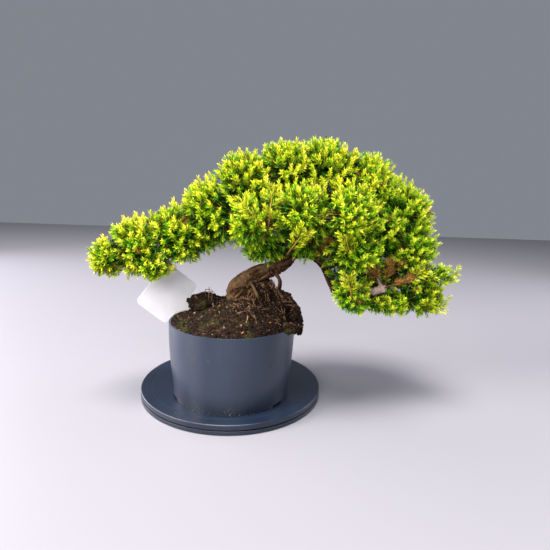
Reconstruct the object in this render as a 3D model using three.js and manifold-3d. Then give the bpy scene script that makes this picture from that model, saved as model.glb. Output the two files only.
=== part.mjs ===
// A japanese garden juniper bonsai in a round plastic pot that stands on a turntable.
// Millimetres, +Z up. The origin is the turntable's axis, at the height of the table under it.
import * as THREE from "three";
import { mergeVertices } from "three/addons/utils/BufferGeometryUtils.js";
import Module from "manifold-3d";

const wasm = await Module();
wasm.setup();

// Clearance between pieces that rest on, or pass through, each other
const GAP = 0.3;

// Vertices closer than the first are merged, and cutting leaves nothing finer than the second
const WELD = 1e-3;
const SLIVER = 0.1;

// Turntable: a base and a plate of one diameter, with a row of balls in a cage between them
const PLATE_R = 125;
const BASE_H = 5.2;
const BASE_DISC_H = 3.5;
const SKIRT_W = 6;
const PLATE_LOW = 6.6;
const PLATE_DISC_LOW = 8.5;
const PLATE_TOP = 13;
const EDGE_CHAMFER = 0.8;
const PIN_R = 8;
const PIN_TOP = 8;
const COLLAR_R = 12;
const GROOVE_R = 111.8;
const GROOVE_HALF = 0.7;
const BALLS = 6;
const BALL_R = 2.2;
const RACE_R = 60;
const CAGE_HALF_W = 4;
const CAGE_H = 1.6;
const DISC_SIDES = 36;
const CAGE_SIDES = 12;

// Pot: its axis stands off the turntable's, and its profile is [radius, height over its foot]
const POT_X = -1;
const POT_Y = -29;
const POT_H = 97.4;
const RIM_TOP = PLATE_TOP + POT_H;
const WALL = 3;
const FOOT_R = 76.5;
const FOOT_INNER_R = 70;
const RECESS_H = 3;
const FLOOR_TOP = 6.5;
const POT_SIDES = 40;
const POT_OUTSIDE = [[FOOT_R, 0], [77.3, 18], [80.5, 45], [82.3, 75], [82.5, POT_H]];
const POT_INSIDE = [[79.5, POT_H], [79.3, 75], [77.5, 45], [74.3, 18], [72, FLOOR_TOP]];
const DRAIN_SLOT_W = 19;
const DRAIN_SLOT_ANGLES = [-70, 50, 170];
const DRAIN_HOLES = 4;
const DRAIN_HOLE_R = 5;
const DRAIN_HOLE_SIDES = 8;
const DRAIN_HOLE_RING_R = 48;

// How far apart the keys of two rough shapes lie, so that their draws differ
const KEY_STEP = 100;

// Soil: the mound's ridge runs along X as [x, height over the rim], and slopes to the rim
const SOIL_SIDES = 24;
const SOIL_GAP = 0.5;
const SOIL_BELOW_RIM = 4;
const MOUND_RINGS = [70, 57, 43, 29, 14];
const MOUND_RIDGE = [
  [-80, 0], [-60, 9], [-40, 17], [-20, 27], [0, 32], [30, 38], [52, 38], [66, 29], [76, 14], [80, 4],
];
const MOUND_FALL = 1.7;
const MOUND_BUMP = 1.6;
const MOUND_BUMP_PER_MM = 0.3;
const CLOD_ROUGHNESS = 0.1;
const CLODS = [
  { at: [-38, 8, 132], reach: [21, 24, 11] },
  { at: [78, -4, 113], reach: [14, 30, 10] },
  { at: [89, -6, 101], reach: [5, 8, 10] },
  { at: [70, -40, 111], reach: [12, 12, 6] },
];

// Wood: each limb is a list of [x, y, z, radius] from its root to its end
const TRUNK = [
  [2, 4, 98, 11], [5, 0, 139, 14], [7, 0, 154, 13.5], [20, -2, 166, 12], [37, -3, 176, 11],
  [52, -3, 182, 10.5], [68, -2, 194, 10], [80, 0, 215, 8],
];
const LIMBS = {
  left: [
    [64, -2, 192, 7], [45, 8, 215, 6], [10, 8, 232, 5.2], [-32, 5, 228, 4.6], [-82, -4, 196, 4],
    [-120, -8, 184, 3], [-150, -9, 182, 2.2],
  ],
  right: [
    [72, -2, 200, 7.5], [96, -2, 203, 7], [116, -5, 190, 6], [129, -8, 166, 5.4], [143, -15, 147, 4.6],
    [190, -25, 153, 3.6], [240, -22, 156, 2.4],
  ],
  crownLeft: [[78, 0, 212, 6.5], [56, 0, 250, 5], [16, -4, 276, 3]],
  crownTop: [[80, 0, 212, 6], [86, 0, 255, 5], [92, 2, 292, 3]],
  crownRight: [[82, 0, 210, 6.5], [112, 0, 240, 5.4], [160, 0, 262, 4], [218, 0, 246, 2.6]],
  crownFront: [[80, -4, 210, 5], [86, -28, 236, 4], [98, -54, 250, 2.6]],
  crownBack: [[82, 6, 212, 5.5], [84, 36, 245, 4.4], [84, 60, 272, 3]],
  deadStub: [[160, -19, 150, 3.2], [176, -30, 158, 3.6], [189, -42, 165, 4]],
};
const ROOTS = [
  [[10, -2, 150, 6], [-4, -8, 136, 4.5], [-26, -20, 112, 3]],
  [[24, -9, 165, 4], [36, -25, 147, 3], [43, -34, 128, 2]],
  [[47, -8, 172, 4], [58, -30, 142, 3], [66, -44, 112, 2]],
  [[56, 2, 176, 2.6], [66, 3, 160, 2.2], [58, 2, 136, 1.8]],
  [[30, 2, 168, 4.5], [38, 8, 148, 4], [42, 12, 122, 2.6]],
  [[14, 6, 158, 6], [8, 24, 140, 4.5], [-2, 44, 118, 3]],
  [[60, -8, 184, 2.4], [72, -14, 158, 2], [70, -18, 132, 1.6]],
  [[40, 4, 172, 3], [54, 20, 150, 2.4], [62, 34, 126, 1.8]],
];
const TRUNK_SIDES = 10;
const TRUNK_RINGS = 10;
const LIMB_SIDES = 6;
const LIMB_STEP = 36;
const ROOT_SIDES = 5;
const ROOT_STEP = 24;

// Twigs: each leaves the place on a limb that lies nearest to its pad, but not a limb's root
const LIMB_PLACES = 16;
const LIMB_ROOT_PLACES = 2;
const TWIG_SIDES = 4;
const TWIG_RINGS = 2;
const TWIG_ROOT_R = 2.6;
const TWIG_TIP_R = 1.1;
const TWIG_SUNK = 8;
const TWIG_LEAST = 12;
const TWIG_SAG = 1 / 12;

// Label: a blank plastic tag, a rounded head on a tapered stem that stands in the soil
const LABEL_HEAD = [70, 51];
const LABEL_CORNER_R = 6;
const LABEL_CORNER_STEPS = 3;
const LABEL_STEM_L = 55;
const LABEL_STEM_W = [21, 12];
const LABEL_T = 1;
const LABEL_AT = [-90, 25, 139];
const LABEL_TILT = 52;

// Foliage: each pad is a bush about a centre, with its reach along X, Y and Z
const PADS = {
  left_tip: { at: [-156, -10, 192], reach: [23, 24, 27] },
  left_end: { at: [-125, -4, 207], reach: [33, 34, 42] },
  left_under: { at: [-99, -22, 182], reach: [23, 22, 16] },
  left_mid: { at: [-79, 0, 224], reach: [36, 38, 36] },
  left_shoulder: { at: [-36, 2, 250], reach: [35, 40, 46] },
  left_back: { at: [-45, 42, 228], reach: [38, 28, 32] },
  crown_left: { at: [9, -5, 290], reach: [37, 44, 40] },
  crown_front_left: { at: [23, -50, 243], reach: [33, 32, 32] },
  crown_top_left: { at: [60, 4, 308], reach: [38, 46, 38] },
  crown_top: { at: [110, 5, 315], reach: [40, 48, 36] },
  crown_top_right: { at: [169, 2, 296], reach: [42, 46, 38] },
  crown_right: { at: [219, 0, 258], reach: [42, 44, 44] },
  crown_front: { at: [76, -60, 258], reach: [35, 32, 31] },
  crown_front_right: { at: [133, -58, 256], reach: [36, 32, 34] },
  crown_back_left: { at: [18, 56, 262], reach: [38, 34, 38] },
  crown_back: { at: [82, 64, 284], reach: [40, 34, 38] },
  crown_back_right: { at: [150, 60, 266], reach: [42, 34, 38] },
  right_back: { at: [202, 48, 218], reach: [40, 32, 36] },
  right_mid: { at: [224, -16, 214], reach: [42, 36, 32] },
  right_front: { at: [148, -50, 211], reach: [32, 28, 27] },
  right_drop: { at: [147, -42, 158], reach: [23, 24, 29] },
  right_bottom: { at: [198, -30, 146], reach: [27, 24, 18] },
  right_low: { at: [254, -18, 150], reach: [30, 26, 28] },
  right_spur: { at: [256, -34, 182], reach: [36, 12, 11] },
  inner_drop: { at: [35, -15, 209], reach: [28, 26, 21] },
};

// Shares of a pad's reach that its core and its tufts take, and the sizes of shoots and needles
const CORE_SHARE = 0.6;
const CORE_BUMP = 0.16;
const TUFT_SHARE = 0.78;
const SHOOT_DIRECTIONS = 9;
const SHOOT_TURN = 6;
const SHOOT_CLEAR = 0.92;
const SHOOT_SEGMENT = 5;
const SHOOT_ROOT_R = 1.5;
const SHOOT_TIP_R = 0.9;
const NEEDLE_L = 6.5;
const NEEDLE_LEAN = 0.75;
const NEEDLE_TIP_SHARE = 0.6;

const FINISH = {
  plate: new THREE.MeshStandardMaterial({ color: "#3c475a", roughness: 0.45, metalness: 0 }),
  pot: new THREE.MeshStandardMaterial({ color: "#4a5362", roughness: 0.4, metalness: 0 }),
  balls: new THREE.MeshStandardMaterial({ color: "#b9bcc0", roughness: 0.3, metalness: 0 }),
  soil: new THREE.MeshStandardMaterial({ color: "#453224", roughness: 0.95, metalness: 0 }),
  bark: new THREE.MeshStandardMaterial({ color: "#66462e", roughness: 0.9, metalness: 0 }),
  label: new THREE.MeshStandardMaterial({ color: "#e9e7ee", roughness: 0.5, metalness: 0 }),
  needles: new THREE.MeshStandardMaterial({ color: "#8ba61c", roughness: 0.6, metalness: 0 }),
};

// A repeatable number from 0 to 1 for any key
function draw(key) {
  const wave = Math.sin(key * 127.1 + 311.7) * 43758.5453;
  return wave - Math.floor(wave);
}

const radians = THREE.MathUtils.degToRad;

// The geometry with only its positions left, and coincident vertices merged
function welded(geometry) {
  const bare = geometry.clone();
  bare.deleteAttribute("normal");
  bare.deleteAttribute("uv");
  return mergeVertices(bare, WELD);
}

// A solid of a welded geometry, without the triangles that a lathe leaves flat on its axis
function solid(geometry) {
  const corners = geometry.index.array;
  const kept = [];
  for (let i = 0; i < corners.length; i += 3) {
    const [a, b, c] = corners.slice(i, i + 3);
    if (a !== b && b !== c && c !== a) kept.push(a, b, c);
  }
  return new wasm.Manifold(
    new wasm.Mesh({
      numProp: 3,
      vertProperties: geometry.getAttribute("position").array,
      triVerts: new Uint32Array(kept),
    }),
  );
}

// The largest connected body of a solid, without the slivers that cutting leaves
function largest(body) {
  const pieces = body.simplify(SLIVER).decompose();
  return pieces.reduce((best, piece) => (piece.volume() > best.volume() ? piece : best));
}

function namedMesh(name, body, finish) {
  const { vertProperties, triVerts } = largest(body).getMesh();
  const geometry = new THREE.BufferGeometry();
  geometry.setAttribute("position", new THREE.BufferAttribute(new Float32Array(vertProperties), 3));
  geometry.setIndex(new THREE.BufferAttribute(new Uint32Array(triVerts), 1));
  geometry.computeVertexNormals();
  const mesh = new THREE.Mesh(geometry, finish);
  mesh.name = name;
  return mesh;
}

// A body turned about Z from a profile of [radius, height] points, listed from the bottom up
function turned(profile, sides) {
  const points = profile.map(([radius, height]) => new THREE.Vector2(radius, height));
  return solid(welded(new THREE.LatheGeometry(points, sides).rotateX(Math.PI / 2)));
}

// A rough ball of triangles, its vertices moved in and out by a repeatable share
function roughBall({ at, reach }, share, bump, key) {
  const ball = welded(new THREE.IcosahedronGeometry(1, 1));
  const position = ball.getAttribute("position");
  for (let i = 0; i < position.count; i += 1) {
    const size = share * (1 + bump * (2 * draw(key + i) - 1));
    const place = [position.getX(i), position.getY(i), position.getZ(i)];
    position.setXYZ(i, ...place.map((part, k) => at[k] + part * reach[k] * size));
  }
  return ball;
}

function curveOf(points) {
  return new THREE.CatmullRomCurve3(points.map(([x, y, z]) => new THREE.Vector3(x, y, z)));
}

// A closed tube along points of [x, y, z, radius], made a little thicker by grow
function limb(points, sides, rings, grow) {
  const curve = curveOf(points);
  const frames = curve.computeFrenetFrames(rings);
  const tube = welded(new THREE.CylinderGeometry(1, 1, 1, sides, rings));
  const position = tube.getAttribute("position");
  for (let i = 0; i < position.count; i += 1) {
    const ring = Math.round((position.getY(i) + 0.5) * rings);
    const along = curve.getUtoTmapping(ring / rings) * (points.length - 1);
    const before = Math.min(Math.floor(along), points.length - 2);
    const radius = THREE.MathUtils.lerp(points[before][3], points[before + 1][3], along - before);
    const place = curve
      .getPointAt(ring / rings)
      .addScaledVector(frames.binormals[ring], position.getX(i) * (radius + grow))
      .addScaledVector(frames.normals[ring], position.getZ(i) * (radius + grow));
    position.setXYZ(i, place.x, place.y, place.z);
  }
  return solid(tube);
}

function turntableBase() {
  return turned(
    [
      [0, 0], [PLATE_R - EDGE_CHAMFER, 0], [PLATE_R, EDGE_CHAMFER], [PLATE_R, BASE_H],
      [PLATE_R - SKIRT_W, BASE_H], [PLATE_R - SKIRT_W, BASE_DISC_H], [PIN_R, BASE_DISC_H],
      [PIN_R, PIN_TOP], [0, PIN_TOP],
    ],
    DISC_SIDES,
  );
}

// The cage is a flat ring at mid height, and each ball stands out of it above and below
function ballRace() {
  const middle = (BASE_DISC_H + PLATE_DISC_LOW) / 2;
  const [low, high] = [middle - CAGE_H / 2, middle + CAGE_H / 2];
  const [inner, outer] = [RACE_R - CAGE_HALF_W, RACE_R + CAGE_HALF_W];
  const cage = [[inner, low], [outer, low], [outer, high], [inner, high], [inner, low]];
  let race = turned(cage, CAGE_SIDES);
  for (let i = 0; i < BALLS; i += 1) {
    const angle = (2 * Math.PI * (i + 0.5)) / BALLS;
    const ball = welded(new THREE.OctahedronGeometry(BALL_R, 1));
    ball.translate(RACE_R * Math.cos(angle), RACE_R * Math.sin(angle), middle);
    race = race.add(solid(ball));
  }
  return race;
}

function turntablePlate() {
  return turned(
    [
      [0, PLATE_DISC_LOW], [PIN_R + GAP, PLATE_DISC_LOW], [PIN_R + GAP, BASE_DISC_H + GAP],
      [COLLAR_R, BASE_DISC_H + GAP], [COLLAR_R, PLATE_DISC_LOW], [PLATE_R - SKIRT_W, PLATE_DISC_LOW],
      [PLATE_R - SKIRT_W, PLATE_LOW], [PLATE_R, PLATE_LOW], [PLATE_R, PLATE_TOP - EDGE_CHAMFER],
      [PLATE_R - EDGE_CHAMFER, PLATE_TOP], [GROOVE_R + GROOVE_HALF, PLATE_TOP],
      [GROOVE_R, PLATE_TOP - GROOVE_HALF], [GROOVE_R - GROOVE_HALF, PLATE_TOP], [0, PLATE_TOP],
    ],
    DISC_SIDES,
  );
}

const overFoot = ([radius, height]) => [radius, PLATE_TOP + height];

// The foot ring is cut by three slots, and the floor by four holes, for water to drain
function pot() {
  const foot = [[0, RECESS_H], [FOOT_INNER_R, RECESS_H], [FOOT_INNER_R, 0]];
  const profile = [...foot, ...POT_OUTSIDE, ...POT_INSIDE, [0, FLOOR_TOP]];
  let body = turned(profile.map(overFoot), POT_SIDES);
  for (const angle of DRAIN_SLOT_ANGLES) {
    const slot = new THREE.BoxGeometry(DRAIN_SLOT_W, 2 * WALL + FOOT_R - FOOT_INNER_R, 2 * RECESS_H);
    slot.translate(0, -(FOOT_R + FOOT_INNER_R) / 2, PLATE_TOP);
    body = body.subtract(solid(welded(slot.rotateZ(radians(angle)))));
  }
  for (let i = 0; i < DRAIN_HOLES; i += 1) {
    const through = 2 * FLOOR_TOP;
    const hole = new THREE.CylinderGeometry(DRAIN_HOLE_R, DRAIN_HOLE_R, through, DRAIN_HOLE_SIDES);
    hole.rotateX(Math.PI / 2).translate(DRAIN_HOLE_RING_R, 0, PLATE_TOP + FLOOR_TOP / 2);
    body = body.subtract(solid(welded(hole.rotateZ((2 * Math.PI * i) / DRAIN_HOLES))));
  }
  return body;
}

function ridgeHeight(x) {
  const next = MOUND_RIDGE.findIndex(([edge]) => edge > x);
  const [[x0, h0], [x1, h1]] = MOUND_RIDGE.slice(next - 1, next + 1);
  return THREE.MathUtils.mapLinear(x, x0, x1, h0, h1);
}

function moundHeight(x, y) {
  const half = Math.sqrt(POT_INSIDE[0][0] ** 2 - x ** 2);
  const fall = 1 - Math.min(1, Math.abs(y) / half) ** MOUND_FALL;
  const bumps = Math.sin(MOUND_BUMP_PER_MM * (x + y / 2)) * Math.cos(MOUND_BUMP_PER_MM * (y - x / 3));
  return RIM_TOP + ridgeHeight(x) * fall + MOUND_BUMP * bumps;
}

// The soil fills the pot, rises as a mound and hangs over the rim on the right
function soil(wood, stem) {
  const wall = [...POT_INSIDE].reverse().filter(([, height]) => height < POT_H - SOIL_BELOW_RIM);
  const edge = [POT_INSIDE[0][0], POT_H - SOIL_BELOW_RIM];
  const sides = [...wall, edge].map(([radius, height]) => [radius - SOIL_GAP, height]);
  const top = MOUND_RINGS.map((radius) => [radius, POT_H]);
  const profile = [[0, FLOOR_TOP], ...sides, [edge[0] - SOIL_GAP, POT_H], ...top, [0, POT_H]];
  const points = profile.map(overFoot).map(([radius, height]) => new THREE.Vector2(radius, height));
  const plug = welded(new THREE.LatheGeometry(points, SOIL_SIDES).rotateX(Math.PI / 2));
  const position = plug.getAttribute("position");
  for (let i = 0; i < position.count; i += 1) {
    const [x, y, z] = [position.getX(i), position.getY(i), position.getZ(i)];
    const onMound = z > RIM_TOP - WELD && Math.hypot(x, y) < MOUND_RINGS[0] + WELD;
    if (onMound) position.setZ(i, moundHeight(x, y));
  }
  const clods = CLODS.map((clod, i) => solid(roughBall(clod, 1, CLOD_ROUGHNESS, KEY_STEP * i)));
  const outer = POT_OUTSIDE.at(-1)[0] / Math.cos(Math.PI / SOIL_SIDES) + GAP;
  const inner = edge[0] - SOIL_GAP;
  const rim = turned(
    [
      [inner, PLATE_TOP], [outer, PLATE_TOP],
      [outer, RIM_TOP + GAP], [inner, RIM_TOP + GAP], [inner, PLATE_TOP],
    ],
    SOIL_SIDES,
  );
  const loose = clods.reduce((all, clod) => all.add(clod)).subtract(rim);
  return solid(plug).add(loose).subtract(wood).subtract(stem);
}

// How far a pad reaches from its centre along a unit vector
function reachAlong(way, { reach }) {
  return 1 / Math.hypot(way.x / reach[0], way.y / reach[1], way.z / reach[2]);
}

// A twig from the nearest limb to just inside the pad's core, or null where a limb runs through it
function twig(pad, grow) {
  const centre = new THREE.Vector3(...pad.at);
  let start = centre;
  let nearest = Infinity;
  for (const points of Object.values(LIMBS)) {
    for (const place of curveOf(points).getSpacedPoints(LIMB_PLACES).slice(LIMB_ROOT_PLACES)) {
      const gap = place.distanceTo(centre);
      if (gap < nearest) [nearest, start] = [gap, place];
    }
  }
  const way = centre.clone().sub(start).normalize();
  const length = nearest - CORE_SHARE * reachAlong(way, pad) + TWIG_SUNK;
  if (length < TWIG_LEAST) return null;
  const end = start.clone().addScaledVector(way, length);
  const middle = start.clone().lerp(end, 0.5);
  middle.z -= length * TWIG_SAG;
  const course = [
    [...start.toArray(), TWIG_ROOT_R], [...middle.toArray(), (TWIG_ROOT_R + TWIG_TIP_R) / 2],
    [...end.toArray(), TWIG_TIP_R],
  ];
  return limb(course, TWIG_SIDES, TWIG_RINGS, grow);
}

// The trunk, limbs, roots and twigs are one grown piece
function wood(grow) {
  const rings = (points, step) => Math.ceil(curveOf(points).getLength() / step) + 1;
  let body = limb(TRUNK, TRUNK_SIDES, TRUNK_RINGS, grow);
  for (const points of Object.values(LIMBS)) {
    body = body.add(limb(points, LIMB_SIDES, rings(points, LIMB_STEP), grow));
  }
  for (const points of ROOTS) {
    body = body.add(limb(points, ROOT_SIDES, rings(points, ROOT_STEP), grow));
  }
  const twigs = Object.values(PADS).map((pad) => twig(pad, grow));
  for (const piece of twigs.filter(Boolean)) body = body.add(piece);
  return body;
}

// The label lies in the plane of X and Z, turned so that its stem runs down to the right
function label(grow) {
  const [length, width] = LABEL_HEAD.map((size) => size / 2 + grow);
  const [neck, end] = LABEL_STEM_W.map((size) => size / 2 + grow);
  const corner = LABEL_CORNER_R + grow;
  const foot = -width - LABEL_STEM_L;
  const outline = new THREE.Shape();
  outline.moveTo(-end, foot);
  outline.lineTo(end, foot);
  outline.lineTo(neck, -width);
  outline.lineTo(length - corner, -width);
  outline.absarc(length - corner, corner - width, corner, -Math.PI / 2, 0);
  outline.absarc(length - corner, width - corner, corner, 0, Math.PI / 2);
  outline.absarc(corner - length, width - corner, corner, Math.PI / 2, Math.PI);
  outline.absarc(corner - length, corner - width, corner, Math.PI, 1.5 * Math.PI);
  outline.lineTo(-neck, -width);
  const depth = LABEL_T + 2 * grow;
  const settings = { depth, bevelEnabled: false, curveSegments: LABEL_CORNER_STEPS };
  const sheet = new THREE.ExtrudeGeometry(outline, settings);
  sheet.translate(0, 0, -depth / 2).rotateZ(radians(LABEL_TILT)).rotateX(Math.PI / 2);
  return solid(welded(sheet.translate(...LABEL_AT)));
}

// Three faces from the sides of triangle a, b, c to a point over it
function pointed(a, b, c, point) {
  return [a, b, point, b, c, point, c, a, point];
}

// A face drawn out to a tuft, and on as a slim stem whose side faces all rise into needles
function shoot(face, root, end) {
  const axis = end.clone().sub(root).normalize();
  const length = root.distanceTo(end) - NEEDLE_L * NEEDLE_TIP_SHARE;
  const rows = Math.max(2, Math.round(length / SHOOT_SEGMENT));
  const across = face[0].clone().sub(root).projectOnPlane(axis).normalize();
  const side = axis.clone().cross(across);
  const ring = (row) => [0, 1, 2].map((k) => {
    const radius = THREE.MathUtils.lerp(SHOOT_ROOT_R, SHOOT_TIP_R, row / rows);
    const angle = (Math.PI / 3) * (row + 2 * k);
    return root.clone()
      .addScaledVector(axis, (length * row) / rows)
      .addScaledVector(across, radius * Math.cos(angle))
      .addScaledVector(side, radius * Math.sin(angle));
  });
  const needle = (share, ...base) => {
    const middle = base.reduce((sum, corner) => sum.add(corner), new THREE.Vector3()).divideScalar(3);
    const outward = middle.clone().sub(root).projectOnPlane(axis).normalize();
    const reach = NEEDLE_L * THREE.MathUtils.lerp(1, NEEDLE_TIP_SHARE, share);
    middle.addScaledVector(outward, reach * Math.cos(NEEDLE_LEAN));
    return pointed(...base, middle.addScaledVector(axis, reach * Math.sin(NEEDLE_LEAN)));
  };
  const corners = [];
  let below = ring(0);
  for (let k = 0; k < 3; k += 1) {
    const next = (k + 1) % 3;
    corners.push(face[k], face[next], below[next], face[k], below[next], below[k]);
  }
  for (let row = 1; row <= rows; row += 1) {
    const above = ring(row);
    for (let k = 0; k < 3; k += 1) {
      const next = (k + 1) % 3;
      corners.push(...needle(row / rows, below[k], below[next], above[k]));
      corners.push(...needle(row / rows, above[k], below[next], above[next]));
    }
    below = above;
  }
  return [...corners, ...pointed(...below, end)];
}

// Directions spread evenly over the sphere
function spread(count, turn) {
  return Array.from({ length: count }, (_, i) => {
    const height = 1 - (2 * i + 1) / count;
    const angle = i * Math.PI * (3 - Math.sqrt(5)) + turn;
    const flat = Math.sqrt(1 - height * height);
    return new THREE.Vector3(flat * Math.cos(angle), flat * Math.sin(angle), height);
  });
}

// How far a place lies from a pad's centre, as a share of the pad's reach
function shareOfReach(place, pad) {
  return Math.hypot(...[0, 1, 2].map((k) => (place[k] - pad.at[k]) / pad.reach[k]));
}

// The planes that part a pad from each pad near it, each with its half of the gap
function partings(pad) {
  const planes = [];
  for (const other of Object.values(PADS)) {
    if (other === pad) continue;
    const way = new THREE.Vector3(...other.at).sub(new THREE.Vector3(...pad.at));
    const apart = way.length();
    way.normalize();
    const [own, theirs] = [pad, other].map((bush) => reachAlong(way, bush));
    if (own + theirs < apart) continue;
    const split = new THREE.Vector3(...pad.at).dot(way) + (apart * own) / (own + theirs) - GAP / 2;
    planes.push({ way, split });
  }
  return planes;
}

// The point at a share of a pad's reach along a way
function pointAt(pad, way, share) {
  return new THREE.Vector3(...way.toArray().map((part, k) => pad.at[k] + part * pad.reach[k] * share));
}

// A pad: a smaller core, with a shoot drawn out of it wherever no other pad lies
function foliage(pad, key, woodGrown) {
  const planes = partings(pad);
  const others = Object.values(PADS).filter((other) => other !== pad);
  const isFree = (place) =>
    others.every((other) => shareOfReach(place.toArray(), other) > SHOOT_CLEAR)
    && planes.every(({ way, split }) => way.dot(place) < split);
  const ways = spread(SHOOT_DIRECTIONS, SHOOT_TURN * draw(key))
    .filter((way) => isFree(pointAt(pad, way, 1)));
  const ball = roughBall(pad, CORE_SHARE, CORE_BUMP, key).toNonIndexed().getAttribute("position");
  const faces = Array.from({ length: ball.count / 3 }, (_, i) =>
    [0, 1, 2].map((k) => new THREE.Vector3().fromBufferAttribute(ball, 3 * i + k)));
  const nearness = (face, place) => Math.max(...face.map((corner) => corner.distanceTo(place)));
  const corners = [];
  for (const way of ways) {
    const place = pointAt(pad, way, CORE_SHARE);
    faces.sort((one, other) => nearness(one, place) - nearness(other, place));
    corners.push(...shoot(faces.shift(), pointAt(pad, way, TUFT_SHARE), pointAt(pad, way, 1)));
  }
  corners.push(...faces.flat());
  let body = solid(mergeVertices(new THREE.BufferGeometry().setFromPoints(corners), WELD));
  for (const { way, split } of planes) body = body.trimByPlane(way.clone().negate().toArray(), -split);
  return body.subtract(woodGrown);
}

const turntable = new THREE.Group();
turntable.add(namedMesh("turntable_base", turntableBase(), FINISH.plate));
turntable.add(namedMesh("ball_race", ballRace(), FINISH.balls));
turntable.add(namedMesh("turntable_plate", turntablePlate(), FINISH.plate));

const tree = new THREE.Group();
tree.position.set(POT_X, POT_Y, 0);
const grownWood = wood(GAP);
tree.add(namedMesh("pot", pot(), FINISH.pot));
tree.add(namedMesh("soil", soil(grownWood, label(GAP)), FINISH.soil));
tree.add(namedMesh("tree_wood", wood(0), FINISH.bark));
tree.add(namedMesh("plant_label", label(0), FINISH.label));
Object.entries(PADS).forEach(([name, pad], i) => {
  tree.add(namedMesh(`foliage_${name}`, foliage(pad, KEY_STEP * i, grownWood), FINISH.needles));
});

const bonsai = new THREE.Group();
bonsai.add(turntable, tree);

export default bonsai;
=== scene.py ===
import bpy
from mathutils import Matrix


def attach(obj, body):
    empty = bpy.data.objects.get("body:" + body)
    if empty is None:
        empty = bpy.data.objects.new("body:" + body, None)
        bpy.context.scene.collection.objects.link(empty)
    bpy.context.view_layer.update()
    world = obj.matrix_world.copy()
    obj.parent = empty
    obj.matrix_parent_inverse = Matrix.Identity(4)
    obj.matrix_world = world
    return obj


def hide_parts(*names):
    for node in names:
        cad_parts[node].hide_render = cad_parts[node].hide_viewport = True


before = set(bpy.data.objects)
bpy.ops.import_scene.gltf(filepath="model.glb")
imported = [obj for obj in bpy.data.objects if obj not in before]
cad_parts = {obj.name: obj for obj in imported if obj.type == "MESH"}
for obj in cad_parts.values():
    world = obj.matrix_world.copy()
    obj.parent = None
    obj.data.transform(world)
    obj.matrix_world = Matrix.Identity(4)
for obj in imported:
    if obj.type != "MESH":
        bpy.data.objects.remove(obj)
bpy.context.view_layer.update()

# Camera: a phone held half a metre in front of the pot and a little above the crown's middle,
# with the wide lens that such a phone has. Its tilts are those that the rim, the foot and the
# turntable's edge show.
import math
import random
from functools import partial

import bmesh
import bpy
import numpy as np
from mathutils import Matrix, Vector, noise
from mathutils.kdtree import KDTree

MM = 0.001
CAMERA_PLACE = Vector((-1, -548, 259)) * MM
CAMERA_DOWN, CAMERA_RIGHT, CAMERA_ROLL = 0.16528, 0.10435, 0.03908
SENSOR_WIDTH, FOCAL_SHARE = 36, 400 / 550

camera = bpy.data.objects.new("camera", bpy.data.cameras.new("camera"))
camera.data.sensor_width = SENSOR_WIDTH
camera.data.lens = SENSOR_WIDTH * FOCAL_SHARE
camera.data.clip_start = 0.01
level = Vector((math.cos(CAMERA_RIGHT), -math.sin(CAMERA_RIGHT), 0))
ahead = Vector((
    math.sin(CAMERA_RIGHT) * math.cos(CAMERA_DOWN),
    math.cos(CAMERA_RIGHT) * math.cos(CAMERA_DOWN),
    -math.sin(CAMERA_DOWN),
))
upright = level.cross(ahead)
right = level * math.cos(CAMERA_ROLL) + upright * math.sin(CAMERA_ROLL)
above = upright * math.cos(CAMERA_ROLL) - level * math.sin(CAMERA_ROLL)
camera_turn = Matrix((right, above, -ahead)).transposed().to_4x4()
camera.matrix_world = Matrix.Translation(CAMERA_PLACE) @ camera_turn
bpy.context.scene.collection.objects.link(camera)
bpy.context.scene.camera = camera


# Studio: a white laminate table in soft daylight, which comes from a window on the left, from
# above, from the open front, and less from a glass door and a doorway behind. Pale air lies all
# round.
def linear(code):
    """The linear colour of an sRGB hex value."""
    parts = [int(code[i:i + 2], 16) / 255 for i in (1, 3, 5)]
    return (*[p / 12.92 if p <= 0.04045 else ((p + 0.055) / 1.055) ** 2.4 for p in parts], 1)


def fill(node, inputs):
    """Gives a node's inputs values, hex colours, or links from other nodes' outputs."""
    for name, value in inputs.items():
        socket = node.inputs[name] if isinstance(name, int) else next(
            s for s in node.inputs if s.enabled and s.name == name)
        if isinstance(value, bpy.types.NodeSocket):
            node.id_data.links.new(value, socket)
        elif isinstance(value, str) and value.startswith("#"):
            socket.default_value = linear(value)
        else:
            socket.default_value = value


def add_node(tree, kind, inputs=None, output=None, stops=(), **settings):
    """Adds a node, with a colour ramp's stops, and gives its named or first output in use."""
    node = tree.nodes.new(kind)
    for name, value in settings.items():
        setattr(node, name, value)
    fill(node, inputs or {})
    if stops:
        elements = node.color_ramp.elements
        for element, (position, code) in ((elements[0], stops[0]), (elements[1], stops[-1])):
            element.position, element.color = position, linear(code)
        for position, code in stops[1:-1]:
            elements.new(position).color = linear(code)
    return node.outputs[output] if output else next((s for s in node.outputs if s.enabled), None)


def new_finish(name, **values):
    """A material, what adds a node to it, and its shader with plain values on its sockets."""
    finish = bpy.data.materials.new(name)
    finish.use_nodes = True
    shader = finish.node_tree.nodes["Principled BSDF"]
    fill(shader, {title.replace("_", " "): value for title, value in values.items()})
    return finish, partial(add_node, finish.node_tree), shader


def new_object(name, mesh):
    """An object of a mesh, in the scene."""
    piece = bpy.data.objects.new(name, mesh)
    bpy.context.scene.collection.objects.link(piece)
    return piece


# The table is 8 m wide, and its top lies 0.2 mm under the turntable's foot
TABLE_SIDE, TABLE_TOP_Z = 8, -0.0002
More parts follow.
